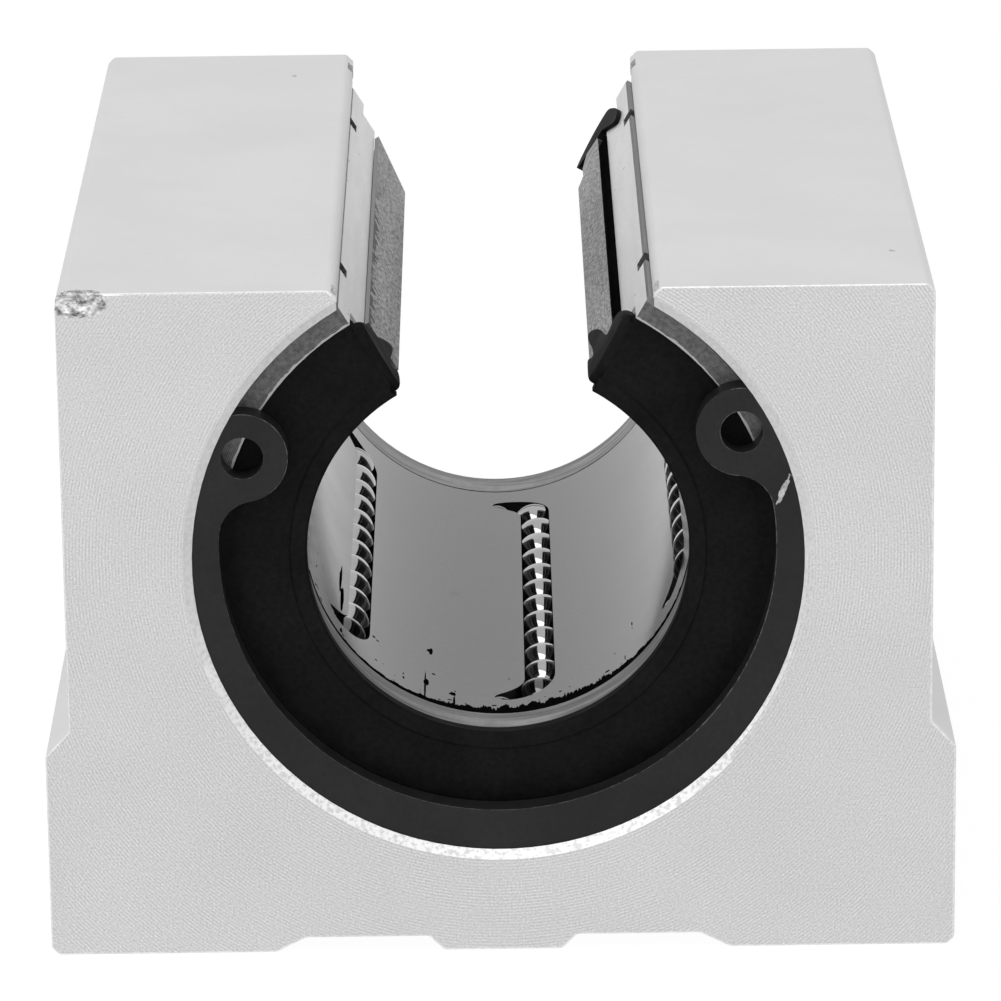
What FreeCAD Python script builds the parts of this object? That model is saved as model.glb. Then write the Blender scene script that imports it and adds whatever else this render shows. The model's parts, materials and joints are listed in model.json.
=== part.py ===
import FreeCAD, Part

import math
import os

import Sketcher
from FreeCAD import Placement, Rotation, Vector

os.makedirs("parts", exist_ok=True)
doc = FreeCAD.newDocument("linear_bearing_block")

# ---------------------------------------------------------------- driving sizes, mm and degrees
# Frame: +Z up, +Y along the shaft, origin at the middle of the mounting face.
SIZES = {
    # block
    "block_width": 60.0,
    "block_length": 65.0,
    "block_height": 45.6,
    "axis_height": 27.0,
    "upper_width": 56.8,
    "flange_height": 14.0,
    "flange_shoulder": 15.7,
    "edge_break": 0.5,
    "slot_width": 20.5,
    "recess_depth": 1.0,
    "recess_outer": 15.1,
    "recess_inner": 4.4,
    "recess_slope": 1.0,
    # mounting holes
    "bolt_spacing": 40.0,
    "tap_drill": 5.0,
    "tap_depth": 12.0,
    # bearing
    "shaft_diameter": 25.0,
    "sleeve_diameter": 40.0,
    "sleeve_length": 59.0,
    "sleeve_seat_gap": 0.02,
    "opening_angle": 61.0,
    "bearing_turn": 0.6,
    "bearing_shift": -0.7,
    "ring_groove_depth": 1.0,
    "ring_groove_width": 1.85,
    "ring_groove_span": 41.0,
    "sleeve_wall": 3.3,
    "land_width": 3.2,
    "land_gap": 0.02,
    "sleeve_chamfer": 0.4,
    # ball circuits
    "ball_diameter": 3.5,
    "ball_gap": 0.03,
    "channel_gap": 0.05,
    "load_angle": 11.7,
    "return_angle": 12.7,
    "return_floor": 1.05,
    "track_end_wall": 1.55,
    "turn_pocket_edge": 1.0,
    # cage
    "cage_bore_gap": 0.35,
    "cage_seat_gap": 0.05,
    "cage_end_space": 4.8,
    "cage_mouth": 0.15,
    "cage_opening_angle": 58.6,
    "cage_slant": 3.5,
    "cage_slant_angle": 4.0,
    # ends
    "end_bore": 36.6,
    "end_bore_depth": 2.9,
    "end_gap": 0.05,
    "seal_thickness": 1.4,
    "seal_inset": 0.1,
    "seal_shaft_gap": 0.05,
    "rear_lip_gap": 1.1,
    "rear_opening_angle": 76.0,
    "seal_mouth": 0.2,
    "seal_rim_gap": 0.03,
    # retaining rings
    "clip_thickness": 1.75,
    "clip_groove_width": 1.85,
    "clip_groove_diameter": 42.5,
    "clip_groove_gap": 0.05,
    "clip_bore": 36.4,
    "clip_offset": 0.9,
    "clip_ear_diameter": 6.0,
    "clip_ear_hole": 2.8,
    "clip_ear_radius": 18.1,
    "clip_ear_angle": 64.0,
    "clip_turn": 2.4,
    "clip_fillet": 2.5,
    "bore_chamfer": 0.4,
    "bore_chamfer_rise": 0.6,
    # set screw
    "screw_diameter": 5.0,
    "screw_length": 8.0,
    "screw_fit": 0.02,
    "screw_hex": 2.5,
    "screw_hex_depth": 2.8,
    "screw_chamfer": 0.6,
}
# The circuits lie a sixth of a turn apart, from one edge of the opening round to the other
CIRCUITS = 5
CIRCUIT_PITCH = 60.0
CIRCUIT_SPAN = CIRCUIT_PITCH * (CIRCUITS - 1)

sheet = doc.addObject("Spreadsheet::Sheet", "Dims")
for row, (alias, value) in enumerate(SIZES.items(), start=1):
    sheet.set(f"A{row}", alias)
    sheet.set(f"B{row}", str(value))
    sheet.setAlias(f"B{row}", alias)
doc.recompute()


def size(expression):
    """The value of an expression over the sheet, as a plain number."""
    value = sheet.evalExpression(expression)
    return float(getattr(value, "Value", value))


# ---------------------------------------------------------------- sizes that follow from the driving ones
HALF_LENGTH = "(Dims.block_length / 2)"
BASE_Z = "(-Dims.axis_height)"
TOP_Z = "(Dims.block_height - Dims.axis_height)"
BORE_R = "(Dims.sleeve_diameter / 2 + Dims.sleeve_seat_gap)"
SLEEVE_R = "(Dims.sleeve_diameter / 2)"
SLEEVE_END = "(Dims.sleeve_length / 2)"
SLEEVE_BORE_R = "(Dims.sleeve_diameter / 2 - Dims.sleeve_wall)"
SHAFT_R = "(Dims.shaft_diameter / 2)"
BALL_R = "(Dims.ball_diameter / 2)"
CHANNEL_R = "(Dims.ball_diameter / 2 + Dims.channel_gap)"
LOAD_R = "(Dims.shaft_diameter / 2 + Dims.ball_diameter / 2)"
LAND_R = "(Dims.shaft_diameter / 2 + Dims.ball_diameter + Dims.land_gap)"
CAGE_BORE_R = "(Dims.shaft_diameter / 2 + Dims.cage_bore_gap)"
CAGE_R = f"({LAND_R} - Dims.cage_seat_gap)"
CAGE_END = f"({SLEEVE_END} - Dims.cage_end_space)"
RETURN_R = f"({CAGE_BORE_R} + Dims.return_floor + {CHANNEL_R})"
TURN_ZONE_R = f"({RETURN_R} + {CHANNEL_R} + Dims.channel_gap)"
END_BORE_R = "(Dims.end_bore / 2)"
END_BORE_START = f"({SLEEVE_END} - Dims.end_bore_depth)"
SEAL_END = f"({SLEEVE_END} - Dims.seal_inset)"
SEAL_START = f"({SEAL_END} - Dims.seal_thickness)"
END_RING_START = f"({CAGE_END} + Dims.end_gap)"
END_RING_END = f"({SEAL_START} - Dims.end_gap)"
CLIP_START = f"({SLEEVE_END} + Dims.clip_groove_gap)"
HALF_OPENING = "(Dims.opening_angle / 2)"
HALF_CAGE_OPENING = "(Dims.cage_opening_angle / 2)"

# A circuit's two track centres, seen along the shaft, with the circuit's middle at the bottom
LOAD_X = f"({LOAD_R} * sin(Dims.load_angle * 1 deg))"
LOAD_Z = f"(-{LOAD_R} * cos(Dims.load_angle * 1 deg))"
RETURN_X = f"(-{RETURN_R} * sin(Dims.return_angle * 1 deg))"
RETURN_Z = f"(-{RETURN_R} * cos(Dims.return_angle * 1 deg))"
# The middle between them, the slope of the line that joins them, and half its length
TRACK_X = f"(({LOAD_X} + {RETURN_X}) / 2)"
TRACK_Z = f"(({LOAD_Z} + {RETURN_Z}) / 2)"
TRACK_TILT = f"atan2({LOAD_Z} - {RETURN_Z}; {LOAD_X} - {RETURN_X})"
TURN_R = f"(hypot({LOAD_X} - {RETURN_X}; {LOAD_Z} - {RETURN_Z}) / 2)"
# Where the straight runs end and the turns begin
TRACK_END = f"({CAGE_END} - {TURN_R} - {CHANNEL_R} - Dims.track_end_wall)"
TRACK_LENGTH = f"(2 * {TRACK_END})"

FIRST_CIRCUIT = -CIRCUIT_SPAN / 2


def turned(x, z, angle):
    """A point seen along the shaft, turned about it so that the bottom goes towards +X."""
    across = f"({x} * cos({angle} deg) - {z} * sin({angle} deg))"
    up = f"({x} * sin({angle} deg) + {z} * cos({angle} deg))"
    return across, up


# ---------------------------------------------------------------- sketching and features
def plane(body, role):
    return next(feature for feature in body.Origin.OriginFeatures if feature.Role == role)


def new_body(label, turn=None):
    """A body at the shaft's height; the bearing's own are also turned and shifted along it."""
    body = doc.addObject("PartDesign::Body", label)
    body.Label = label
    angle = size(f"Dims.{turn}") if turn else 0
    body.Placement = Placement(Vector(0, 0, size("Dims.axis_height")), Rotation(Vector(0, -1, 0), angle))
    body.setExpression("Placement.Base.z", "Dims.axis_height")
    if turn:
        body.setExpression("Placement.Base.y", "Dims.bearing_shift")
        body.setExpression("Placement.Rotation.Angle", f"Dims.{turn} * 1 deg")
    return body


def new_sketch(body, name, role="XZ_Plane", offset=None, turn=None):
    """A sketch on an origin plane; offset is a set of expressions, turn one in degrees."""
    made = body.newObject("Sketcher::SketchObject", name)
    made.AttachmentSupport = (plane(body, role), [""])
    made.MapMode = "FlatFace"
    if turn:
        made.AttachmentOffset = Placement(Vector(0, 0, 0), Rotation(Vector(0, 0, 1), size(turn)))
        made.setExpression("AttachmentOffset.Rotation.Angle", turn)
    for axis, value in (offset or {}).items():
        made.setExpression(f"AttachmentOffset.Base.{axis}", value)
    return made


def pin_point(made, geometry, point, x, y):
    """Ties a point of a sketch to two expressions, or to an axis where one is zero."""
    for kind, axis, value in (("DistanceX", -2, x), ("DistanceY", -1, y)):
        if value == "0":
            made.addConstraint(Sketcher.Constraint("PointOnObject", geometry, point, axis))
            continue
        index = made.addConstraint(Sketcher.Constraint(kind, -1, 1, geometry, point, size(value)))
        made.setExpression(f"Constraints[{index}]", value)


def outline(made, corners):
    """A closed run of straight lines with every corner tied to expressions."""
    spots = [Vector(size(x), size(y), 0) for x, y in corners]
    first = made.GeometryCount
    count = len(spots)
    for i in range(count):
        made.addGeometry(Part.LineSegment(spots[i], spots[(i + 1) % count]), False)
    for i in range(count):
        made.addConstraint(Sketcher.Constraint("Coincident", first + i, 2, first + (i + 1) % count, 1))
    for i, (x, y) in enumerate(corners):
        pin_point(made, first + i, 1, x, y)


def circle(made, x, y, radius):
    spot = Vector(size(x), size(y), 0)
    index = made.addGeometry(Part.Circle(spot, Vector(0, 0, 1), size(radius)), False)
    pin_point(made, index, 3, x, y)
    limit = made.addConstraint(Sketcher.Constraint("Radius", index, size(radius)))
    made.setExpression(f"Constraints[{limit}]", radius)


def feature(body, kind, name, profile, **values):
    """A feature on a profile; values that are strings with Dims in them are tied to the sheet."""
    made = body.newObject(f"PartDesign::{kind}", name)
    made.Profile = profile
    for key, value in values.items():
        if isinstance(value, str) and "Dims" in value:
            made.setExpression(key, value)
        else:
            setattr(made, key, value)
    profile.Visibility = False
    return made


def pad_both_ways(body, name, profile, length):
    return feature(body, "Pad", name, profile, SideType="Symmetric", Length=length)


def cut_both_ways(body, name, profile, length):
    return feature(body, "Pocket", name, profile, SideType="Symmetric", Length=length)


def turned_round(body, kind, name, profile):
    return feature(body, kind, name, profile, ReferenceAxis=(profile, ["H_Axis"]), Angle=360.0)


def around_circuits(body, name, originals):
    """Repeats features at every circuit, from the first one round to the last."""
    made = body.newObject("PartDesign::PolarPattern", name)
    made.Originals = originals
    made.Axis = (plane(body, "Y_Axis"), [""])
    made.Angle = CIRCUIT_SPAN
    made.Occurrences = CIRCUITS
    made.Reversed = True
    body.Tip = made
    return made


def both_ends(body, name, originals):
    made = body.newObject("PartDesign::Mirrored", name)
    made.Originals = originals
    made.MirrorPlane = (plane(body, "XZ_Plane"), [""])
    body.Tip = made
    return made


def cut_opening(body, half_angle):
    """Cuts the radial-sided opening that lets the shaft's supports through."""
    made = new_sketch(body, body.Label + "_opening")
    reach = "Dims.block_height"
    side = f"({reach} * tan({half_angle} * 1 deg))"
    outline(made, [("0", "0"), (side, reach), (f"(-{side})", reach)])
    return cut_both_ways(body, body.Label + "_opening_cut", made, "2 * Dims.block_length")


# ---------------------------------------------------------------- housing
def make_housing():
    """Extruded aluminium block: slot above, flange and relieved mounting face below, bored."""
    body = new_body("housing")
    edge = "Dims.edge_break"
    half_slot = "(Dims.slot_width / 2)"
    half_top = "(Dims.upper_width / 2)"
    half_width = "(Dims.block_width / 2)"
    shoulder = f"(Dims.flange_shoulder + {BASE_Z})"
    flange = f"(Dims.flange_height + {BASE_Z})"
    recess = f"(Dims.recess_depth + {BASE_Z})"
    half = [
        (half_slot, "0"),
        (half_slot, f"({TOP_Z} - {edge})"),
        (f"({half_slot} + {edge})", TOP_Z),
        (f"({half_top} - {edge})", TOP_Z),
        (half_top, f"({TOP_Z} - {edge})"),
        (half_top, shoulder),
        (half_width, flange),
        (half_width, f"({BASE_Z} + {edge})"),
        (f"({half_width} - {edge})", BASE_Z),
        ("Dims.recess_outer", BASE_Z),
        ("(Dims.recess_outer - 2 * Dims.recess_slope)", recess),
        ("(Dims.recess_inner + Dims.recess_slope / 2)", recess),
        ("(Dims.recess_inner - Dims.recess_slope / 2)", BASE_Z),
    ]
    other = [(f"(-{x})", y) for x, y in reversed(half)]
    section = new_sketch(body, "housing_section")
    outline(section, half + other)
    pad_both_ways(body, "extrusion", section, "Dims.block_length")
    bore = new_sketch(body, "housing_bore")
    circle(bore, "0", "0", BORE_R)
    cut_both_ways(body, "bored", bore, "2 * Dims.block_length")
    grooves = new_sketch(body, "clip_groove_section", "YZ_Plane")
    wall = f"({BORE_R} - Dims.clip_groove_width)"
    groove_r = "(Dims.clip_groove_diameter / 2)"
    flare_foot = f"({BORE_R} - Dims.bore_chamfer_rise)"
    flare = f"({BORE_R} + 2 * Dims.bore_chamfer_rise)"
    for side in ("", "-"):
        near = f"({side}{SLEEVE_END} + Dims.bearing_shift)"
        far = f"({side}({SLEEVE_END} + Dims.clip_groove_width) + Dims.bearing_shift)"
        outline(grooves, [(near, wall), (near, groove_r), (far, groove_r), (far, wall)])
        inside = f"({side}({HALF_LENGTH} - 2 * Dims.bore_chamfer))"
        beyond = f"({side}({HALF_LENGTH} + Dims.bore_chamfer))"
        outline(grooves, [(inside, flare_foot), (beyond, flare), (beyond, flare_foot)])
    turned_round(body, "Groove", "clip_grooves", grooves)
    doc.recompute()
    holes = new_sketch(body, "mounting_hole_centres", "XY_Plane", offset={"z": BASE_Z})
    for side in ("", "-"):
        for end in ("", "-"):
            circle(holes, f"({side}Dims.bolt_spacing / 2)", f"({end}Dims.bolt_spacing / 2)",
                   "(Dims.tap_drill / 2)")
    doc.recompute()
    feature(body, "Hole", "mounting_holes", holes, Diameter="Dims.tap_drill", Depth="Dims.tap_depth",
            DepthType="Dimension", DrillPoint="Angled", Reversed=True)
    screw_hole = new_sketch(body, "set_screw_hole", "YZ_Plane")
    circle(screw_hole, "0", "0", "(Dims.screw_diameter / 2 + Dims.screw_fit)")
    feature(body, "Pocket", "set_screw_tapping", screw_hole, Length="Dims.block_width", Reversed=True)
    return body


# ---------------------------------------------------------------- steel sleeve
def make_sleeve():
    """Hardened sleeve: ring grooves outside, raceway lands and return grooves inside."""
    body = new_body("bearing_sleeve", turn="bearing_turn")
    section = new_sketch(body, "sleeve_section", "YZ_Plane")
    groove_out = "(Dims.ring_groove_span / 2)"
    groove_in = f"({groove_out} - Dims.ring_groove_width)"
    groove_r = f"({SLEEVE_R} - Dims.ring_groove_depth)"
    chamfer = "Dims.sleeve_chamfer"
    outside = [
        (SLEEVE_END, f"({SLEEVE_R} - {chamfer})"),
        (f"({SLEEVE_END} - {chamfer})", SLEEVE_R),
        (groove_out, SLEEVE_R),
        (groove_out, groove_r),
        (groove_in, groove_r),
        (groove_in, SLEEVE_R),
    ]
    inside = [
        (END_BORE_START, SLEEVE_BORE_R),
        (END_BORE_START, END_BORE_R),
        (SLEEVE_END, END_BORE_R),
    ]
    mirrored = [[(f"(-{y})", r) for y, r in reversed(run)] for run in (outside, inside)]
    outline(section, outside + mirrored[0] + mirrored[1] + inside)
    turned_round(body, "Revolution", "sleeve_turning", section)
    land = new_sketch(body, "land_section", turn=f"({FIRST_CIRCUIT} + Dims.load_angle) * 1 deg")
    half_land = "(Dims.land_width / 2)"
    foot = f"({half_land} + {SLEEVE_BORE_R} - {LAND_R})"
    root = f"(-{SLEEVE_BORE_R} - Dims.sleeve_wall / 4)"
    top = f"(-{LAND_R})"
    outline(land, [(f"(-{half_land})", top), (half_land, top), (foot, root), (f"(-{foot})", root)])
    lands = pad_both_ways(body, "land", land, TRACK_LENGTH)
    around_circuits(body, "lands", [lands])
    back = new_sketch(body, "return_groove_section")
    circle(back, *turned(RETURN_X, RETURN_Z, FIRST_CIRCUIT), CHANNEL_R)
    grooves = cut_both_ways(body, "return_groove", back, f"({TRACK_LENGTH} + 2 * {CHANNEL_R})")
    around_circuits(body, "return_grooves", [grooves])
    # Room for the turning balls, from the first circuit round to the last
    pocket = new_sketch(body, "turn_pocket_section", "YZ_Plane")
    pocket_end = f"({TRACK_END} + {TURN_R} + {CHANNEL_R} + Dims.channel_gap)"
    floor = f"(-{TURN_ZONE_R})"
    open_side = f"(-{SLEEVE_BORE_R} + Dims.sleeve_wall)"
    outline(pocket, [(TRACK_END, open_side), (TRACK_END, floor),
                     (pocket_end, floor), (pocket_end, open_side)])
    beside = f"Dims.return_angle * 1 deg + asin(({CHANNEL_R} + Dims.channel_gap) / {RETURN_R})"
    turn_pocket = feature(body, "Groove", "rear_turn_pocket", pocket, ReferenceAxis=(pocket, ["H_Axis"]),
                          Midplane=True,
                          Angle=f"{CIRCUIT_SPAN} deg + 2 * ({beside} + Dims.turn_pocket_edge * 1 deg)")
    both_ends(body, "turn_pockets", [turn_pocket])
    cut_opening(body, HALF_OPENING)
    return body


# ---------------------------------------------------------------- plastic cage
def make_cage():
    """Moulded cage with five closed ball circuits, open outwards and slotted into the bore."""
    body = new_body("ball_retainer", turn="bearing_turn")
    section = new_sketch(body, "cage_section", "YZ_Plane")
    mouth = "Dims.cage_mouth"
    inner = f"({CAGE_END} - {mouth})"
    outline(section, [
        (CAGE_END, f"({CAGE_BORE_R} + {mouth})"),
        (CAGE_END, CAGE_R),
        (f"(-{CAGE_END})", CAGE_R),
        (f"(-{CAGE_END})", f"({CAGE_BORE_R} + {mouth})"),
        (f"(-{inner})", CAGE_BORE_R),
        (inner, CAGE_BORE_R),
    ])
    turned_round(body, "Revolution", "cage_tube", section)
    # The track's frame: x across the two runs, y outwards from the shaft
    x, z = turned(TRACK_X, TRACK_Z, FIRST_CIRCUIT)
    tilt = f"({TRACK_TILT} + {FIRST_CIRCUIT} deg)"
    straight = new_sketch(body, "track_section", offset={"x": x, "y": z}, turn=tilt)
    for side in ("", "-"):
        outline(straight, channel(f"({side}{TURN_R})"))
    runs = cut_both_ways(body, "track_runs", straight, TRACK_LENGTH)
    turns = []
    for name, end, back in (("rear", "-", False), ("front", "", True)):
        place = {"x": x, "y": z, "z": f"({end}{TRACK_END})"}
        bend = new_sketch(body, f"{name}_turn_section", offset=place, turn=tilt)
        outline(bend, channel(TURN_R))
        turns.append(feature(body, "Groove", f"{name}_turn", bend, ReferenceAxis=(bend, ["V_Axis"]),
                             Angle=180.0, Reversed=back))
    around_circuits(body, "circuits", [runs] + turns)
    # The rear end slants back towards the bore on both sides of the opening
    slant = new_sketch(body, "slant_section", "YZ_Plane")
    beyond = f"({CAGE_END} + Dims.cage_slant)"
    rise = f"({CAGE_R} - {CAGE_BORE_R})"
    outline(slant, [(f"({CAGE_END} - 2 * Dims.cage_slant)", f"({CAGE_BORE_R} - {rise})"),
                    (beyond, f"({CAGE_R} + {rise})"), (beyond, f"({CAGE_BORE_R} - {rise})")])
    feature(body, "Groove", "slanted_end", slant, ReferenceAxis=(slant, ["H_Axis"]), Midplane=True,
            Angle="(Dims.cage_opening_angle + 2 * Dims.cage_slant_angle) * 1 deg")
    cut_opening(body, HALF_CAGE_OPENING)
    return body


def channel(middle):
    """Section of a ball channel: three flats on the shaft's side of the ball, open outwards."""
    corner = f"({CHANNEL_R} / cos(22.5 deg))"
    outside = "(-Dims.sleeve_wall)"
    flats = [(f"({middle} + {corner} * sin({angle} deg))", f"({corner} * cos({angle} deg))")
             for angle in (-67.5, -22.5, 22.5, 67.5)]
    return [(f"({middle} - {CHANNEL_R})", outside)] + flats + [(f"({middle} + {CHANNEL_R})", outside)]


# ---------------------------------------------------------------- end rings and seals
def make_end_piece(label, corners, half_opening):
    """A C-shaped ring or seal turned from its rear section; front ones lie towards -Y."""
    body = new_body(label, turn="bearing_turn")
    section = new_sketch(body, label + "_section", "YZ_Plane")
    side = "-" if label.endswith("front") else ""
    outline(section, [(f"({side}{y})", radius) for y, radius in corners])
    turned_round(body, "Revolution", label + "_turning", section)
    cut_opening(body, half_opening)
    return body


def end_ring_section():
    """Closes the channels behind the cage and seats with a flange in the sleeve's end bore."""
    flange = f"({END_BORE_START} + Dims.end_gap)"
    rim = f"({END_BORE_R} - Dims.seal_rim_gap)"
    return [(END_RING_START, CAGE_BORE_R), (END_RING_START, CAGE_R), (flange, CAGE_R), (flange, rim),
            (END_RING_END, rim), (END_RING_END, CAGE_BORE_R)]


def seal_section(lip):
    rim = f"({END_BORE_R} - Dims.seal_rim_gap)"
    mouth = "Dims.seal_mouth"
    return [(SEAL_START, lip), (SEAL_START, rim), (SEAL_END, rim), (SEAL_END, f"({lip} + {mouth})"),
            (f"({SEAL_END} - {mouth})", lip)]


# ---------------------------------------------------------------- retaining rings
def make_clip(label):
    """Spring ring for bores: eccentric inside, so it thins towards its two eared ends."""
    body = new_body(label, turn="clip_turn")
    start, thickness = CLIP_START, "Dims.clip_thickness"
    front = label.endswith("front")
    place = {"z": start if front else f"(-{start} - {thickness})"}
    ring = new_sketch(body, label + "_ring", offset=place)
    circle(ring, "0", "0", "(Dims.clip_groove_diameter / 2 - Dims.clip_groove_gap)")
    circle(ring, "0", "Dims.clip_offset", "(Dims.clip_bore / 2)")
    feature(body, "Pad", label + "_blank", ring, Length=thickness)
    gap = new_sketch(body, label + "_gap", offset=place)
    reach = "Dims.block_height"
    ear_x = "(Dims.clip_ear_radius * sin(Dims.clip_ear_angle * 1 deg))"
    ear_z = "(Dims.clip_ear_radius * cos(Dims.clip_ear_angle * 1 deg))"
    side = f"({reach} * tan(Dims.clip_ear_angle * 1 deg))"
    outline(gap, [("0", "0"), (side, reach), (f"(-{side})", reach)])
    cut_both_ways(body, label + "_gap_cut", gap, "2 * Dims.block_length")
    ears = new_sketch(body, label + "_ears", offset=place)
    circle(ears, ear_x, ear_z, "(Dims.clip_ear_diameter / 2)")
    circle(ears, f"(-{ear_x})", ear_z, "(Dims.clip_ear_diameter / 2)")
    feature(body, "Pad", label + "_ear_pads", ears, Length=thickness)
    holes = new_sketch(body, label + "_holes", offset=place)
    circle(holes, ear_x, ear_z, "(Dims.clip_ear_hole / 2)")
    circle(holes, f"(-{ear_x})", ear_z, "(Dims.clip_ear_hole / 2)")
    drilled = cut_both_ways(body, label + "_plier_holes", holes, "2 * Dims.block_length")
    doc.recompute()
    blend = body.newObject("PartDesign::Fillet", label + "_ear_blend")
    blend.Base = (drilled, inner_ear_edges(drilled.Shape))
    blend.setExpression("Radius", "Dims.clip_fillet")
    return body


def inner_ear_edges(shape):
    """The two straight edges where a ring's ears leave its inner arc."""
    centre = Vector(size("Dims.clip_ear_radius * sin(Dims.clip_ear_angle * 1 deg)"), 0,
                    size("Dims.clip_ear_radius * cos(Dims.clip_ear_angle * 1 deg)"))
    ear_r = size("Dims.clip_ear_diameter / 2")
    bore_r = size("Dims.clip_bore / 2")
    lift = size("Dims.clip_offset")
    found = []
    for index, edge in enumerate(shape.Edges, start=1):
        if len(edge.Vertexes) != 2:
            continue
        a, b = (vertex.Point for vertex in edge.Vertexes)
        if Vector(a.x - b.x, 0, a.z - b.z).Length > 1e-6:
            continue
        on_ear = abs(Vector(abs(a.x) - centre.x, 0, a.z - centre.z).Length - ear_r) < 1e-4
        on_bore = abs(Vector(a.x, 0, a.z - lift).Length - bore_r) < 1e-4
        if on_ear and on_bore:
            found.append(f"Edge{index}")
    return found


# ---------------------------------------------------------------- set screw
def make_screw():
    """Socket set screw in the side wall; its flat point stops the sleeve from turning."""
    body = new_body("set_screw")
    section = new_sketch(body, "screw_section", "XY_Plane")
    radius = "(Dims.screw_diameter / 2)"
    tip = f"({BORE_R} + Dims.screw_fit)"
    head = f"({tip} + Dims.screw_length)"
    chamfer = "Dims.screw_chamfer"
    outline(section, [
        (tip, "0"),
        (tip, f"({radius} - {chamfer})"),
        (f"({tip} + {chamfer})", radius),
        (f"({head} - {chamfer} / 2)", radius),
        (head, f"({radius} - {chamfer} / 2)"),
        (head, "0"),
    ])
    turned_round(body, "Revolution", "screw_turning", section)
    socket = new_sketch(body, "screw_socket", "YZ_Plane", offset={"z": head})
    across = "(Dims.screw_hex / 2)"
    corner = f"({across} / cos(30 deg))"
    outline(socket, [(f"({corner} * cos({60 * i} deg))" if i % 3 else f"({'-' if i else ''}{corner})",
                      f"({corner} * sin({60 * i} deg))" if i % 3 else "0") for i in range(6)])
    feature(body, "Pocket", "hex_socket", socket, Length="Dims.screw_hex_depth")
    return body


# ---------------------------------------------------------------- balls
def faceted_ball(radius):
    """A ball with 26 flats whose corners all lie on the real ball."""
    long = 1 + math.sqrt(2)
    reach = math.sqrt(2 + long**2)
    signs = (-1, 1)
    corners = [Vector(*(side * value for side, value in zip((p, q, r), spread))) * (radius / reach)
               for spread in ((1, 1, long), (1, long, 1), (long, 1, 1))
               for p in signs for q in signs for r in signs]
    faces = []
    steps = (-1, 0, 1)
    for way in (Vector(p, q, r) for p in steps for q in steps for r in steps if (p, q, r) != (0, 0, 0)):
        way.normalize()
        height = max(corner.dot(way) for corner in corners)
        rim = [corner for corner in corners if corner.dot(way) > height - radius / 1000]
        middle = sum(rim, Vector()) / len(rim)
        first = (rim[0] - middle).normalize()
        second = way.cross(first)
        rim.sort(key=lambda corner: math.atan2((corner - middle).dot(second), (corner - middle).dot(first)))
        faces.append(Part.Face(Part.makePolygon(rim + rim[:1])))
    return Part.Solid(Part.makeShell(faces))


def ball_group(label, circuit, centres):
    """Balls of one stretch of a circuit; centres are across, along and out of the track's plane."""
    turn = FIRST_CIRCUIT + circuit * CIRCUIT_PITCH
    x, z = (size(value) for value in turned(TRACK_X, TRACK_Z, turn))
    tilt = size(TRACK_TILT) + turn
    ball = faceted_ball(size(BALL_R))
    frame = Placement(Vector(x, 0, z), Rotation(Vector(0, -1, 0), tilt))
    made = doc.addObject("Part::Feature", label)
    made.Label = label
    shapes = [ball.translated(Vector(across, along, 0)) for across, along in centres]
    for shape in shapes:
        shape.Placement = frame.multiply(shape.Placement)
    made.Shape = Part.makeCompound(shapes)
    made.Placement = Placement(Vector(0, size("Dims.bearing_shift"), size("Dims.axis_height")),
                               Rotation(Vector(0, -1, 0), size("Dims.bearing_turn")))
    return made


def make_balls():
    """Every circuit: a loaded row, a returning row and three balls in each turn."""
    pitch = size("Dims.ball_diameter + Dims.ball_gap")
    turn_r = size(TURN_R)
    end = size(TRACK_END)
    # Half a ball's pitch stays free for the row's travel each way
    count = int(size(TRACK_LENGTH) / pitch)
    row = [(i - (count - 1) / 2) * pitch for i in range(count)]
    step = 2 * math.asin(pitch / (2 * turn_r))
    bend = [(turn_r * math.sin(k * step), turn_r * math.cos(k * step)) for k in (-1, 0, 1)]
    for circuit in range(CIRCUITS):
        number = circuit + 1
        ball_group(f"load_row_{number}", circuit, [(turn_r, y) for y in row])
        ball_group(f"return_row_{number}", circuit, [(-turn_r, y) for y in row])
        ball_group(f"rear_turn_{number}", circuit, [(x, end + y) for x, y in bend])
        ball_group(f"front_turn_{number}", circuit, [(x, -end - y) for x, y in bend])


make_housing()
make_sleeve()
make_cage()
# The front lip runs on the shaft; the rear one is worn back behind the end ring's bore
for end, lip_gap, half_opening in (("front", "Dims.seal_shaft_gap", HALF_OPENING),
                                   ("rear", "Dims.rear_lip_gap", "(Dims.rear_opening_angle / 2)")):
    make_end_piece(f"end_ring_{end}", end_ring_section(), half_opening)
    make_end_piece(f"seal_{end}", seal_section(f"({SHAFT_R} + {lip_gap})"), half_opening)
    make_clip(f"retaining_ring_{end}")
make_screw()
make_balls()
doc.recompute()

# ---------------------------------------------------------------- check and write
failed = [obj.Name for obj in doc.Objects if {"Invalid", "Error"} & set(obj.State)]
if failed:
    raise SystemExit(f"failed features: {failed}")
pieces = [obj for obj in doc.Objects if obj.TypeId in ("PartDesign::Body", "Part::Feature")]
for piece in pieces:
    if piece.Shape.isNull() or not piece.Shape.isValid():
        raise SystemExit(f"{piece.Label} has no valid shape")
for piece in pieces:
    piece.Shape.exportStep(f"parts/{piece.Label}.step")
    print(f"{piece.Label}: {len(piece.Shape.Solids)} solids, {piece.Shape.Volume:.1f} mm3")
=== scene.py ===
import json
import math

import bmesh
import bpy
from mathutils import Matrix, Vector, noise


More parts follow.
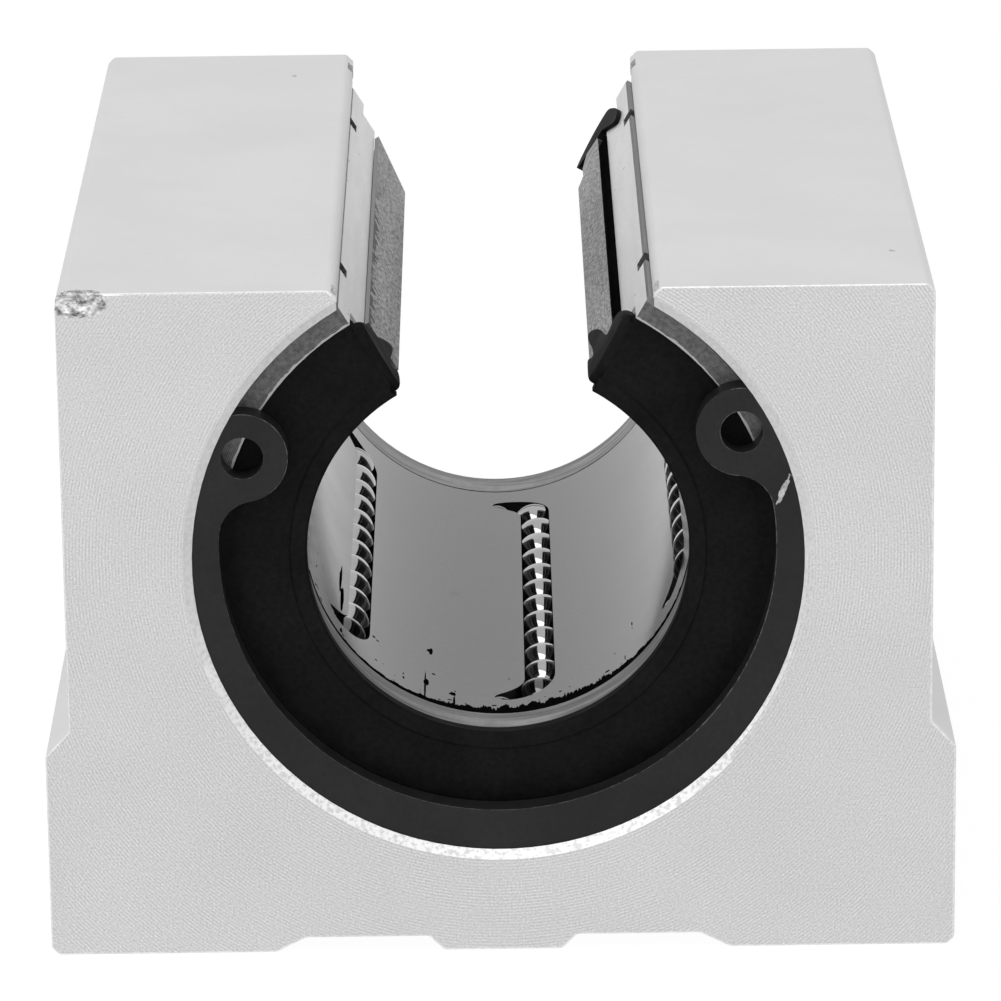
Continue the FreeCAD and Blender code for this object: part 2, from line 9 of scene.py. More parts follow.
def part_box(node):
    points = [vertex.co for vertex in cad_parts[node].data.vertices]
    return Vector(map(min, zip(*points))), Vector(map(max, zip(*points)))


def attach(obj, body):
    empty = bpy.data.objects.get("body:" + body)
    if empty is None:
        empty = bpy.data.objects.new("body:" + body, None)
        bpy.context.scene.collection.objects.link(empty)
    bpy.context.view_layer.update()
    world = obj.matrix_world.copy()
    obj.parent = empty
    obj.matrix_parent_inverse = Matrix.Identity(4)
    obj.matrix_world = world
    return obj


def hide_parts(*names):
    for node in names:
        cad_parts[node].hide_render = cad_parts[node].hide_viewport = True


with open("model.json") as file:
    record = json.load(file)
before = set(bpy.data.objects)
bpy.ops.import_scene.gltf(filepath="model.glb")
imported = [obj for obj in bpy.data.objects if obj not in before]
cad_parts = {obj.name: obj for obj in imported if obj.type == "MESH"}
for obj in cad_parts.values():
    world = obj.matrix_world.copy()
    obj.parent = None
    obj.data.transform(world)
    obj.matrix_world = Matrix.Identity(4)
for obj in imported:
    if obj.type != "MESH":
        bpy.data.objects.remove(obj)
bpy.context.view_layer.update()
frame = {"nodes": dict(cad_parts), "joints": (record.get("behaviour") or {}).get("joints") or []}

# ------------------------------------------------------------------ block
# An extruded bar of silver anodised aluminium, cut to length. Its ends are faced in a lathe, which leaves
# fine rings round the bore, and its edges are broken. The base is tapped for four screws, and one top
# corner of the front end has been knocked.
MM = 0.001
block_low, block_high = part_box("housing")
sleeve_low, sleeve_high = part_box("bearing_sleeve")
AXIS = Vector((0.0, 0.0, sleeve_low.z + (sleeve_high.x - sleeve_low.x) / 2))
WELD = 0.0005 * MM
FLAT_WITHIN = math.radians(0.4)
SHARP_FROM = math.radians(28.0)
ROUND_WITHIN = 0.004 * MM
END_EDGE = 0.27 * MM
BORE_EDGES_R = 20.75 * MM
KNOCK_PLACE = Vector((block_low.x + 3.05 * MM, block_low.y + 0.15 * MM, block_high.z - 0.55 * MM))
KNOCK_REACH = Vector((1.75, 1.0, 0.95)) * MM
CHAMFER_REACH = 21.12 * MM
HIGHLIGHT_BELOW = 13.0 * MM
DULL_FROM = 3.0 * MM
THREAD_CORE = 2.49 * MM
THREAD_CREST = 2.95 * MM
THREAD_PITCH = 1.0 * MM
THREAD_TURNS = 10
THREAD_LEAD_IN = 1.5
THREAD_SIDES = 24
BOLT_SPACING = 40.0 * MM


def merged_copy(node):
    """A copy of a node's mesh with its loose triangles joined and its flat faces made whole."""
    made = bmesh.new()
    made.from_mesh(frame["nodes"][node].data)
    bmesh.ops.remove_doubles(made, verts=made.verts, dist=WELD)
    bmesh.ops.dissolve_limit(made, angle_limit=FLAT_WITHIN, verts=made.verts, edges=made.edges)
    return made


def radius_of(point):
    return math.hypot(point.x - AXIS.x, point.z - AXIS.z)


def true_round(mesh, cones=False):
    """Shades a mesh smoothly, with exact normals where a face is turned about the axis.

    Large faces stay flat. A slanted face counts as turned only where cones says so.
    """
    mesh.polygons.foreach_set("use_smooth", [True] * len(mesh.polygons))
    mesh.set_sharp_from_angle(angle=SHARP_FROM)
    holder = placed("shading", mesh)
    holder.modifiers.new("even", "WEIGHTED_NORMAL").keep_sharp = True
    mesh = bpy.data.meshes.new_from_object(holder.evaluated_get(bpy.context.evaluated_depsgraph_get()))
    mesh.name = holder.data.name
    bpy.data.objects.remove(holder)
    normals = [Vector(corner.vector) for corner in mesh.corner_normals]
    for face in mesh.polygons:
        slope = face.normal.y
        if abs(slope) > 0.01 and not cones:
            continue
        away = Vector((face.center.x - AXIS.x, 0.0, face.center.z - AXIS.z))
        side = math.copysign(math.sqrt(max(0.0, 1.0 - slope * slope)), away.dot(face.normal))
        spots = [mesh.vertices[i].co for i in face.vertices]
        reach = [side * radius_of(spot) + slope * spot.y for spot in spots]
        if max(reach) - min(reach) > ROUND_WITHIN:
            continue
        if abs(away.normalized().dot(face.normal)) < 0.9 * abs(side):
            continue
        for loop in face.loop_indices:
            spot = mesh.vertices[mesh.loops[loop].vertex_index].co
            outward = Vector((spot.x - AXIS.x, 0.0, spot.z - AXIS.z)).normalized()
            normals[loop] = outward * side + Vector((0.0, slope, 0.0))
    mesh.normals_split_custom_set(normals)
    return mesh


def to_mesh(name, made):
    mesh = bpy.data.meshes.new(name)
    made.to_mesh(mesh)
    made.free()
    return mesh


def placed(name, mesh):
    made = bpy.data.objects.new(name, mesh)
    bpy.context.scene.collection.objects.link(made)
    return made


def carved(mesh, cutters, crossing=False):
    """A mesh with closed cutter meshes taken out of it; crossing says that its own parts overlap."""
    holder = placed("carving", mesh)
    tools = [placed("cutter", cutter) for cutter in cutters]
    for tool in tools:
        cut = holder.modifiers.new("cut", "BOOLEAN")
        cut.object = tool
        cut.operation = "DIFFERENCE"
        cut.solver = "EXACT"
        cut.use_self = crossing
    result = bpy.data.meshes.new_from_object(holder.evaluated_get(bpy.context.evaluated_depsgraph_get()))
    result.name = mesh.name
    for each in (holder, *tools):
        bpy.data.objects.remove(each)
    return result


def new_piece(name, mesh, body, slot, *nodes):
    """Puts a finished mesh in the scene, on a body, in place of the nodes it stands for."""
    made = placed(name, mesh)
    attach(made, body)
    if nodes:
        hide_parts(*nodes)
    return made


def knock_cutter():
    """A rough lump the shape of the metal that a knock has torn out of the corner."""
    made = bmesh.new()
    bmesh.ops.create_icosphere(made, subdivisions=5, radius=1.0)
    for vertex in made.verts:
        way = vertex.co.normalized()
        rough = 0.16 * noise.noise(way * 2.3) + 0.17 * noise.noise(way * 5.5) + 0.08 * noise.noise(way * 13.0)
        vertex.co = KNOCK_PLACE + Vector(a * b for a, b in zip(way * (1.0 + rough), KNOCK_REACH))
    return to_mesh("knock", made)


def thread_cutter(x, y):
    """The helical body that a tap cuts, up from just below the mounting face."""
    made = bmesh.new()
    sides = THREAD_SIDES
    profile = ((0.0, THREAD_CORE), (0.42, THREAD_CREST), (0.55, THREAD_CREST), (0.97, THREAD_CORE))
    rows = THREAD_TURNS * len(profile)
    grid = {}
    for j in range(sides):
        turn = j / sides
        angle = turn * 2 * math.pi
        for i in range(rows + (len(profile) if j == 0 else 0)):
            share, radius = profile[i % len(profile)]
            height = block_low.z + (i // len(profile) + share + turn - THREAD_LEAD_IN) * THREAD_PITCH
            grid[i, j] = made.verts.new((x + radius * math.cos(angle), y + radius * math.sin(angle), height))

    def at(i, j):
        return grid[(i + len(profile), 0)] if j == sides else grid[i, j]

    for j in range(sides):
        for i in range(rows - 1):
            made.faces.new((at(i, j), at(i, j + 1), at(i + 1, j + 1), at(i + 1, j)))
    last = rows - 1
    for row, steps in ((0, range(len(profile), 0, -1)), (last, range(last + len(profile), last, -1))):
        rim = [grid[row, j] for j in range(sides)] + [grid[i, 0] for i in steps]
        middle = made.verts.new((x, y, sum(v.co.z for v in rim) / len(rim)))
        for k, vertex in enumerate(rim):
            made.faces.new((vertex, rim[(k + 1) % len(rim)], middle))
    bmesh.ops.recalc_face_normals(made, faces=made.faces)
    return to_mesh("thread", made)


shape = merged_copy("housing")
rim = [edge for edge in shape.edges
       if all(abs(abs(v.co.y) - block_high.y) < 1e-6 for v in edge.verts)
       and len(edge.link_faces) == 2
       and min(radius_of(v.co) for v in edge.verts) > BORE_EDGES_R]
bmesh.ops.bevel(shape, geom=rim, offset=END_EDGE, segments=2, profile=0.5, affect="EDGES", clamp_overlap=True)
threads = [thread_cutter(x * BOLT_SPACING / 2, y * BOLT_SPACING / 2) for x in (-1, 1) for y in (-1, 1)]
housing_mesh = true_round(carved(to_mesh("block", shape), [knock_cutter(), *threads]), cones=True)
block = new_piece("block", housing_mesh, "block", "block", "housing")


class Wires:
    """Short ways to place and join shader nodes in one tree."""

    def __init__(self, tree):
        self.tree = tree
        tree.nodes.clear()

    def put(self, kind, inputs=None, **settings):
        made = self.tree.nodes.new(kind)
        for key, value in settings.items():
            setattr(made, key, value)
        for key, value in (inputs or {}).items():
            self.feed(made.inputs[key], value)
        return made

    def feed(self, socket, value):
        if isinstance(value, bpy.types.NodeSocket):
            self.tree.links.new(value, socket)
        elif isinstance(value, bpy.types.Node):
            self.tree.links.new(value.outputs[0], socket)
        else:
            socket.default_value = value

    def math(self, operation, first, second=0.0):
        return self.put("ShaderNodeMath", {0: first, 1: second}, operation=operation).outputs[0]

    def ramp(self, value, low, high, out_low=0.0, out_high=1.0):
        return self.put("ShaderNodeMapRange", {"Value": value, "From Min": low, "From Max": high,
                                               "To Min": out_low, "To Max": out_high}).outputs[0]

    def blend(self, factor, first, second):
        return self.put("ShaderNodeMix", {0: factor, 2: first, 3: second}, data_type="FLOAT").outputs[0]

    def noise(self, vector, scale, detail=3.0, stretch=None):
        if stretch:
            vector = self.put("ShaderNodeMapping", {"Vector": vector, "Scale": stretch})
        return self.put("ShaderNodeTexNoise", {"Vector": vector, "Scale": scale, "Detail": detail,
                                               "Roughness": 0.6}).outputs[0]

    def egg(self, vector, middle, reach):
        """How far out a place lies in an egg shape of a given reach: one on its surface."""
        away = self.put("ShaderNodeVectorMath", {0: vector, 1: middle}, operation="SUBTRACT")
        shrunk = self.put("ShaderNodeVectorMath", {0: away, 1: reach}, operation="DIVIDE")
        return self.put("ShaderNodeVectorMath", {0: shrunk}, operation="LENGTH").outputs["Value"]

    def grey(self, tone):
        return self.put("ShaderNodeCombineColor", {0: tone, 1: tone, 2: tone}).outputs[0]

    def filled(self, tree, inputs):
        made = self.put("ShaderNodeGroup", node_tree=tree)
        for key, value in inputs.items():
            self.feed(made.inputs[key], value)
        return made

    def finish(self, tone, height, depth, **inputs):
        """The material's shader: a grey tone, relief of a given depth, and the rest as named."""
        relief = self.put("ShaderNodeBump", {"Height": height, "Strength": 1.0, "Distance": depth})
        values = {key.replace("_", " "): value for key, value in inputs.items()}
        shader = self.put("ShaderNodeBsdfPrincipled",
                          {"Base Color": self.grey(tone), "Normal": relief.outputs[0], **values})
        self.put("ShaderNodeOutputMaterial", {"Surface": shader})


def new_material(name):
    """A material and the object coordinates and normal that its pattern reads."""
    material = bpy.data.materials.new(name)
    material.use_nodes = True
    w = Wires(material.node_tree)
    where = w.put("ShaderNodeTexCoord")
    return material, w, where.outputs["Object"], where.outputs["Normal"]


def new_group(name, inputs, outputs):
    """An empty shader group with named sockets; inputs maps a name to its kind and default."""
    tree = bpy.data.node_groups.new(name, "ShaderNodeTree")
    for label, (kind, default) in inputs.items():
        socket = tree.interface.new_socket(label, in_out="INPUT", socket_type=f"NodeSocket{kind}")
        if default is not None:
            socket.default_value = default
    for label in outputs:
        tree.interface.new_socket(label, in_out="OUTPUT", socket_type="NodeSocketFloat")
    w = Wires(tree)
    return tree, w, w.put("NodeGroupInput").outputs, w.put("NodeGroupOutput").inputs


def round_faces_group():
    """Tells a turned part's surfaces apart: its ends, its radial cuts, and the distance from the axis."""
    tree, w, given, out = new_group("round_faces", {"Vector": ("Vector", None), "Normal": ("Vector", None)},
                                    ("Radius", "End", "Edge", "Cut"))
    centred = w.put("ShaderNodeVectorMath", {0: given["Vector"], 1: AXIS}, operation="SUBTRACT")
    flat = w.put("ShaderNodeVectorMath", {0: centred, 1: (1.0, 0.0, 1.0)}, operation="MULTIPLY")
    outward = w.put("ShaderNodeVectorMath", {0: flat}, operation="NORMALIZE")
    radial = w.put("ShaderNodeVectorMath", {0: outward, 1: given["Normal"]}, operation="DOT_PRODUCT")
    along = w.math("ABSOLUTE", w.put("ShaderNodeSeparateXYZ", {0: given["Normal"]}).outputs["Y"])
    facing_end, slanted = 0.93, 0.3
    end = w.math("GREATER_THAN", along, facing_end)
    w.feed(out["Radius"], w.put("ShaderNodeVectorMath", {0: flat}, operation="LENGTH").outputs["Value"])
    w.feed(out["End"], end)
    w.feed(out["Edge"], w.math("SUBTRACT", w.math("GREATER_THAN", along, slanted), end))
    w.feed(out["Cut"], w.math("MULTIPLY", w.math("LESS_THAN", along, slanted),
                              w.math("LESS_THAN", w.math("ABSOLUTE", radial.outputs["Value"]), slanted)))
    return tree


def turned_rings_group():
    """Fine rings that a facing cut leaves round the axis, wavering a little and uneven in depth."""
    inputs = {"Vector": ("Vector", None), "Radius": ("Float", 0.0),
              "Pitch": ("Float", 0.215 * MM), "Waver": ("Float", 0.35)}
    tree, w, given, out = new_group("turned_rings", inputs, ("Height",))
    waver = w.math("MULTIPLY", w.noise(given["Vector"], 350.0, 3.0), given["Waver"])
    turns = w.math("ADD", w.math("DIVIDE", given["Radius"], given["Pitch"]), waver)
    wave = w.math("SINE", w.math("MULTIPLY", turns, 2 * math.pi))
    depth = w.ramp(w.noise(given["Vector"], 700.0, 4.0), 0.3, 0.7, 0.1, 1.0)
    w.feed(out["Height"], w.math("MULTIPLY", wave, depth))
    return tree


def specks_group():
    """Small specks strewn over a surface, such as dust, pits or chips."""
    tree, w, given, out = new_group("specks", {"Vector": ("Vector", None), "Scale": ("Float", 900.0),
                                               "Amount": ("Float", 0.1), "Size": ("Float", 0.25)}, ("Mask",))
    rough = w.put("ShaderNodeTexNoise", {"Vector": given["Vector"], "Scale": 3000.0, "Detail": 2.0})
    shifted = w.put("ShaderNodeVectorMath", {0: rough.outputs["Color"], 1: (0.0004,) * 3, 2: given["Vector"]},
                    operation="MULTIPLY_ADD")
    cells = w.put("ShaderNodeTexVoronoi", {"Vector": shifted, "Scale": given["Scale"]})
    pick = w.put("ShaderNodeSeparateColor", {0: cells.outputs["Color"]})
    chosen = w.math("LESS_THAN", pick.outputs[0], given["Amount"])
    reach = w.math("MULTIPLY", given["Size"], pick.outputs[1])
    w.feed(out["Mask"], w.math("MULTIPLY", chosen, w.math("LESS_THAN", cells.outputs["Distance"], reach)))
    return tree


round_faces = round_faces_group()
turned_rings = turned_rings_group()
specks = specks_group()


def aluminium():
    material, w, place, facing = new_material("satin_aluminium")
    face = w.filled(round_faces, {"Vector": place, "Normal": facing}).outputs
    rings = w.filled(turned_rings, {"Vector": place, "Radius": face["Radius"], "Waver": 0.9}).outputs[0]
    grain = w.noise(place, 7600.0, 2.0)
    streaks = w.noise(place, 2600.0, 4.0, stretch=(1.0, 0.03, 1.0))
    cloud = w.ramp(w.noise(place, 90.0, 4.0), 0.3, 0.7, 0.97, 1.03)
    turned = w.math("MULTIPLY", w.ramp(rings, -1.0, 1.0, 0.58, 0.77), w.ramp(grain, 0.25, 0.75, 0.76, 1.24))
    tone = w.blend(face["End"], w.ramp(grain, 0.3, 0.7, 0.72, 0.765), turned)
    # The bore's chamfer is painted lighter along its foot, a painted highlight where it faces up into the
    # light, and is painted duller above
    ragged = w.noise(place, 3200.0, 3.0)
    height_here = w.math("ADD", w.put("ShaderNodeSeparateXYZ", {0: place}).outputs["Z"],
                         w.ramp(w.noise(place, 500.0, 3.0), 0.3, 0.7, -2.5 * MM, 2.5 * MM))
    above = w.ramp(height_here, AXIS.z - HIGHLIGHT_BELOW, AXIS.z - DULL_FROM)
    chamfer_highlight = w.blend(above, w.ramp(ragged, 0.40, 0.52, 0.74, 1.0), w.ramp(ragged, 0.3, 0.7, 0.66, 0.82))
    # Elsewhere the broken edges of the ends are painted lighter: a painted highlight along the bevels
    inner = w.math("LESS_THAN", face["Radius"], CHAMFER_REACH)
    edge = w.blend(inner, w.ramp(ragged, 0.35, 0.60, 0.80, 0.97), chamfer_highlight)
    tone = w.blend(face["Edge"], tone, edge)
    pits = w.filled(specks, {"Vector": place, "Scale": 420.0, "Amount": 0.04, "Size": 0.12}).outputs[0]
    tone = w.math("MULTIPLY", w.math("MULTIPLY", tone, cloud), w.ramp(pits, 0.0, 1.0, 1.0, 0.6))
    # The knock's torn metal is bare and rough; its bright and dark patches are painted glints on its facets
    # and painted shade in its pits
    far = w.egg(place, KNOCK_PLACE, KNOCK_REACH)
    torn = w.math("LESS_THAN", w.math("ADD", far, w.ramp(w.noise(place, 1500.0), 0.3, 0.7, -0.1, 0.1)), 1.10)
    crystal = w.noise(place, 1500.0, 5.0, stretch=(1.0, 1.0, 1.6))
    tone = w.blend(torn, tone, w.ramp(crystal, 0.36, 0.60, 0.14, 0.92))
    height = w.blend(face["End"], w.math("ADD", w.math("MULTIPLY", streaks, 0.6), grain),
                     w.math("ADD", rings, w.math("MULTIPLY", grain, 2.5)))
    height = w.blend(torn, height, w.math("MULTIPLY", crystal, 20.0))
    w.finish(tone, height, 0.004 * MM, Metallic=0.35, Roughness=w.ramp(grain, 0.3, 0.7, 0.42, 0.55))
    return material


def clothe(mesh, *materials):
    mesh.materials.clear()
    for material in materials:
        mesh.materials.append(material)
    return mesh


clothe(block.data, aluminium())

# ------------------------------------------------------------------ set screw
# A black socket set screw in the block's side. Its flat point presses on the bearing's sleeve and stops
# it from turning.
def black_oxide():
    material, w, place, _ = new_material("black_oxide")
    grain = w.noise(place, 3000.0, 4.0)
    w.finish(w.ramp(grain, 0.3, 0.7, 0.02, 0.05), grain, 0.003 * MM, Metallic=0.6,
             Roughness=w.ramp(grain, 0.3, 0.7, 0.3, 0.5))
    return material


def dressed(name, node, slot, material, shape=None):
    """A smooth-shaded copy of one of the block's nodes in its own finish, standing for the node."""
    mesh = to_mesh(name, shape or merged_copy(node))
    return new_piece(name, clothe(true_round(mesh), material), "block", slot, node)


dressed("socket_screw", "set_screw", "screw", black_oxide())

# ------------------------------------------------------------------ sleeve
# The bearing's hardened steel sleeve, ground outside and slit for the shaft's supports. Its slit faces are
# pale and pitted, with painted shade along the joint with the block. Its turned end faces are painted dark,
# a painted reflection, with a painted highlight at the rim by the bore.
def arc_of(node):
    """From where to where a node reaches round the axis, in degrees from straight below."""
    corners = frame["nodes"][node].data.vertices
    turns = [math.degrees(math.atan2(v.co.x - AXIS.x, AXIS.z - v.co.z)) for v in corners]
    return min(turns), max(turns)


def reach_of(node):
    """A node's least and greatest distance from the axis."""
    reach = [radius_of(v.co) for v in frame["nodes"][node].data.vertices]
    return min(reach), max(reach)


sleeve_r = reach_of("bearing_sleeve")[1]
END_BORE_R = 18.3 * MM
END_RIM = 0.14 * MM
JOINT_SHADE_LINE = 0.27 * MM


def ground_steel():
    material, w, place, facing = new_material("ground_steel")
    face = w.filled(round_faces, {"Vector": place, "Normal": facing}).outputs
    rings = w.filled(turned_rings, {"Vector": place, "Radius": face["Radius"], "Pitch": 0.13 * MM,
                                    "Waver": 1.6}).outputs[0]
    grain = w.noise(place, 3600.0, 4.0)
    along = w.noise(place, 900.0, 4.0, stretch=(1.0, 0.12, 1.0))
    pits = w.filled(specks, {"Vector": place, "Scale": 1500.0, "Amount": 0.06, "Size": 0.24}).outputs[0]
    cut = w.math("MULTIPLY", w.ramp(grain, 0.3, 0.7, 0.67, 0.78), w.ramp(along, 0.3, 0.7, 0.93, 1.05))
    cut = w.math("MULTIPLY", cut, w.ramp(pits, 0.0, 1.0, 1.0, 0.45))
    # The slit faces are painted dark along their outer edge: painted shade in the joint with the block
    uneven = w.math("ADD", face["Radius"], w.ramp(along, 0.0, 1.0, -0.05 * MM, 0.05 * MM))
    cut = w.blend(w.math("GREATER_THAN", uneven, sleeve_r - JOINT_SHADE_LINE), cut, 0.05)
    # The end faces are painted dark, a painted reflection of the dark room in front of them, and a thin rim
    # by the bore is painted lighter as a painted highlight
    end = w.math("MULTIPLY", w.ramp(rings, -1.0, 1.0, 0.06, 0.15), w.ramp(grain, 0.3, 0.7, 0.6, 1.5))
    rim = w.math("LESS_THAN", w.math("ADD", face["Radius"], w.ramp(along, 0.3, 0.7, -0.08 * MM, 0.08 * MM)),
                 END_BORE_R + END_RIM)
    end = w.blend(rim, end, 0.42)
    tone = w.blend(face["Cut"], w.blend(face["End"], w.ramp(grain, 0.3, 0.7, 0.25, 0.35), end), cut)
    w.finish(tone, w.blend(face["End"], grain, rings), 0.004 * MM, Metallic=0.5,
             Roughness=w.ramp(grain, 0.3, 0.7, 0.38, 0.5))
    return material


dressed("sleeve", "bearing_sleeve", "sleeve", ground_steel())

# ------------------------------------------------------------------ cage
# The moulded grey cage that guides five circuits of balls. Each channel runs along the bore, turns outwards
# and comes back behind it, so it shows as a slot with a horn at each end. The faces of the slit are grainy.
CHANNEL_R = 1.80 * MM
CHANNEL_DEPTH = 2.6 * CHANNEL_R
ROUND_STEPS = 18
TURN_STEPS = 24
CAGE_MOUTH = 0.15 * MM
CAGE_SLANT = 3.5 * MM
SLANT_ARC = 4.0
CAGE_STEPS = 200
BEND_STEP = 0.02
SLEEVE_WALL = 3.3 * MM
LEDGE_GAP = 0.03 * MM
LEDGE_SHY = 0.05
LEDGE_SHADE_FROM = 12.0 * MM
LEDGE_SHADE_FULL = 4.0 * MM
CIRCUITS = 5
cage_low, cage_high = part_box("ball_retainer")
cage_in, cage_out = reach_of("ball_retainer")
cage_start, cage_end = arc_of("ball_retainer")
sleeve_start, sleeve_end = arc_of("bearing_sleeve")
sleeve_in = sleeve_r - SLEEVE_WALL


def about_axis(angle, radius, y):
    """The point at an angle from straight below, a distance from the axis, and a place along it."""
    turn = math.radians(angle)
    return Vector((AXIS.x + radius * math.sin(turn), y, AXIS.z - radius * math.cos(turn)))


def swept(made, sections):
    """Joins closed sections, each a list of points, into one closed body with flat ends."""
    rows = [[made.verts.new(point) for point in section] for section in sections]
    count = len(rows[0])
    faces = [made.faces.new((a[i], a[(i + 1) % count], b[(i + 1) % count], b[i]))
             for a, b in zip(rows, rows[1:]) for i in range(count)]
    faces += [made.faces.new(rows[0][::-1]), made.faces.new(rows[-1])]
    bmesh.ops.recalc_face_normals(made, faces=faces)


def cage_body():
    """The slit tube, slanted at its rear beside the slit, with a ledge towards the sleeve on the left."""
    ledge = sleeve_start - cage_start - LEDGE_SHY
    bends = [cage_start + ledge, cage_start + SLANT_ARC, cage_end - SLANT_ARC]
    angles = sorted([cage_start + (cage_end - cage_start) * i / CAGE_STEPS for i in range(CAGE_STEPS + 1)]
                    + [bend + side * BEND_STEP for bend in bends for side in (-1, 1)])
    sections = []
    for angle in angles:
        outer = sleeve_in - LEDGE_GAP if angle < bends[0] else cage_out
        slanted = angle < bends[1] or angle > bends[2]
        foot = CAGE_SLANT if slanted else CAGE_MOUTH
        brow = foot - foot * CAGE_MOUTH / (outer - cage_in) if slanted else 0.0
        bevel = cage_in + CAGE_MOUTH
        outline = ((cage_low.y, outer), (cage_low.y, bevel), (cage_low.y + CAGE_MOUTH, cage_in),
                   (cage_high.y - foot, cage_in), (cage_high.y - brow, bevel), (cage_high.y, outer))
        sections.append([about_axis(angle, radius, y) for y, radius in outline])
    made = bmesh.new()
    swept(made, sections)
    return to_mesh("cage", made)


def ball_centres(node):
    """The middle of each of a node's separate balls."""
    made = bmesh.new()
    made.from_mesh(frame["nodes"][node].data)
    bmesh.ops.remove_doubles(made, verts=made.verts, dist=WELD)
    left = set(made.verts)
    centres = []
    while left:
        group, edge = set(), [left.pop()]
        while edge:
            vertex = edge.pop()
            group.add(vertex)
            for link in vertex.link_edges:
                other = link.other_vert(vertex)
                if other in left:
                    left.discard(other)
                    edge.append(other)
        centres.append(sum((v.co for v in group), Vector()) / len(group))
    made.free()
    return sorted(centres, key=tuple)


def channel_cutter(number):
    """One closed channel: half round towards the shaft, straight-sided and open away from it."""
    load, back = (sum(ball_centres(f"{row}_row_{number}"), Vector()) for row in ("load", "return"))
    balls = len(ball_centres(f"load_row_{number}"))
    load, back = load / balls, back / balls
    across = Vector((load.x - back.x, 0.0, load.z - back.z))
    turn_r = across.length / 2
    across.normalize()
    middle = Vector(((load.x + back.x) / 2, 0.0, (load.z + back.z) / 2))
    inward = Vector((across.z, 0.0, -across.x))
    if inward.dot(AXIS - middle) < 0:
        inward = -inward
    ends = {joint["name"]: joint["pos_m"][1] for joint in frame["joints"] if "pos_m" in joint}
    rear, front = ends[f"rear_turn_{number}_hinge"], ends[f"front_turn_{number}_hinge"]
    steps = [math.pi * i / ROUND_STEPS for i in range(ROUND_STEPS + 1)]
    section = [(CHANNEL_R * math.cos(step), CHANNEL_R * math.sin(step)) for step in steps]
    section = [(CHANNEL_R, -CHANNEL_DEPTH)] + section + [(-CHANNEL_R, -CHANNEL_DEPTH)]
    made = bmesh.new()
    rows = []
    for y, first in ((rear, 0), (front, 180)):
        for i in range(TURN_STEPS + 1):
            turn = math.radians(first + 180 * i / TURN_STEPS)
            out = across * math.cos(turn) + Vector((0.0, math.sin(turn), 0.0))
            spot = middle + Vector((0.0, y, 0.0))
            rows.append([made.verts.new(spot + out * (turn_r + side) + inward * rise)
                         for side, rise in section])
    for a, b in zip(rows, rows[1:] + rows[:1]):
        for i in range(len(section)):
            j = (i + 1) % len(section)
            made.faces.new((a[i], a[j], b[j], b[i]))
    bmesh.ops.recalc_face_normals(made, faces=made.faces)
    return to_mesh("channel", made)


def moulded_grey():
    material, w, place, facing = new_material("moulded_grey")
    face = w.filled(round_faces, {"Vector": place, "Normal": facing}).outputs
    fine = w.noise(place, 4200.0, 4.0)
    cloud = w.noise(place, 160.0, 4.0)
    streaks = w.noise(place, 500.0, 3.0, stretch=(1.0, 0.06, 1.0))
    patches = w.noise(place, 110.0, 3.0, stretch=(1.0, 0.5, 1.0))
    bore = w.math("MULTIPLY", w.ramp(cloud, 0.3, 0.7, 0.083, 0.105), w.ramp(fine, 0.3, 0.7, 0.95, 1.05))
    cut = w.math("MULTIPLY", w.ramp(fine, 0.41, 0.59, 0.12, 0.56), w.ramp(streaks, 0.35, 0.65, 0.90, 1.14))
    cut = w.math("MULTIPLY", cut, w.ramp(patches, 0.35, 0.65, 0.78, 1.18))
    tone = w.blend(face["Cut"], bore, cut)
    dots = w.filled(specks, {"Vector": place, "Scale": 330.0, "Amount": 0.05, "Size": 0.16}).outputs[0]
    tone = w.blend(dots, tone, 0.03)
    # Painted shade in the joint where the ledge meets the sleeve: a ragged dark band that fades towards the
    # rear
    ragged = w.ramp(w.noise(place, 1100.0, 5.0), 0.42, 0.66, sleeve_in - 0.05 * MM, sleeve_in - 1.0 * MM)
    fading = w.ramp(w.put("ShaderNodeSeparateXYZ", {0: place}).outputs["Y"], LEDGE_SHADE_FULL, LEDGE_SHADE_FROM, 1.0, 0.0)
    ledge_shade = w.math("MULTIPLY", w.math("GREATER_THAN", face["Radius"], ragged), fading)
    tone = w.blend(w.math("MULTIPLY", ledge_shade, face["Cut"]), tone, 0.02)
    height = w.blend(face["Cut"], w.math("MULTIPLY", fine, 0.3), w.math("MULTIPLY", fine, 3.0))
    w.finish(tone, height, 0.004 * MM, IOR=1.58,
             Roughness=w.blend(face["Cut"], w.ramp(cloud, 0.3, 0.7, 0.14, 0.20), 0.6))
    return material


channels = [channel_cutter(number) for number in range(1, CIRCUITS + 1)]
cage_mesh = carved(cage_body(), channels)
new_piece("cage", clothe(true_round(cage_mesh), moulded_grey()), "block", "cage", "ball_retainer")

# ------------------------------------------------------------------ balls
# Polished steel balls. Each circuit has a row that carries load and shows in the slot, a row that comes
# back behind it, and three balls in each turn.
BALL_R = 1.75 * MM
TURN_SHADE_END = 5.5 * MM
SEGMENTS = {"load_row": 48, "return_row": 20, "rear_turn": 32, "front_turn": 32}


def ball_steel():
    material, w, place, _ = new_material("ball_steel")
    haze = w.noise(place, 700.0, 4.0)
    # Painted shade darkens the balls in the turns, which lie in shadow inside the horns
    along = w.math("ABSOLUTE", w.math("SUBTRACT", w.put("ShaderNodeSeparateXYZ", {0: place}).outputs["Y"],
                                      (cage_low.y + cage_high.y) / 2))
    turn_shade = w.math("GREATER_THAN", along, (cage_high.y - cage_low.y) / 2 - TURN_SHADE_END)
    tone = w.blend(turn_shade, w.ramp(haze, 0.3, 0.7, 0.34, 0.41), 0.12)
    w.finish(tone, haze, 0.0005 * MM, Metallic=1.0, Roughness=w.ramp(haze, 0.3, 0.7, 0.03, 0.08))
    return material


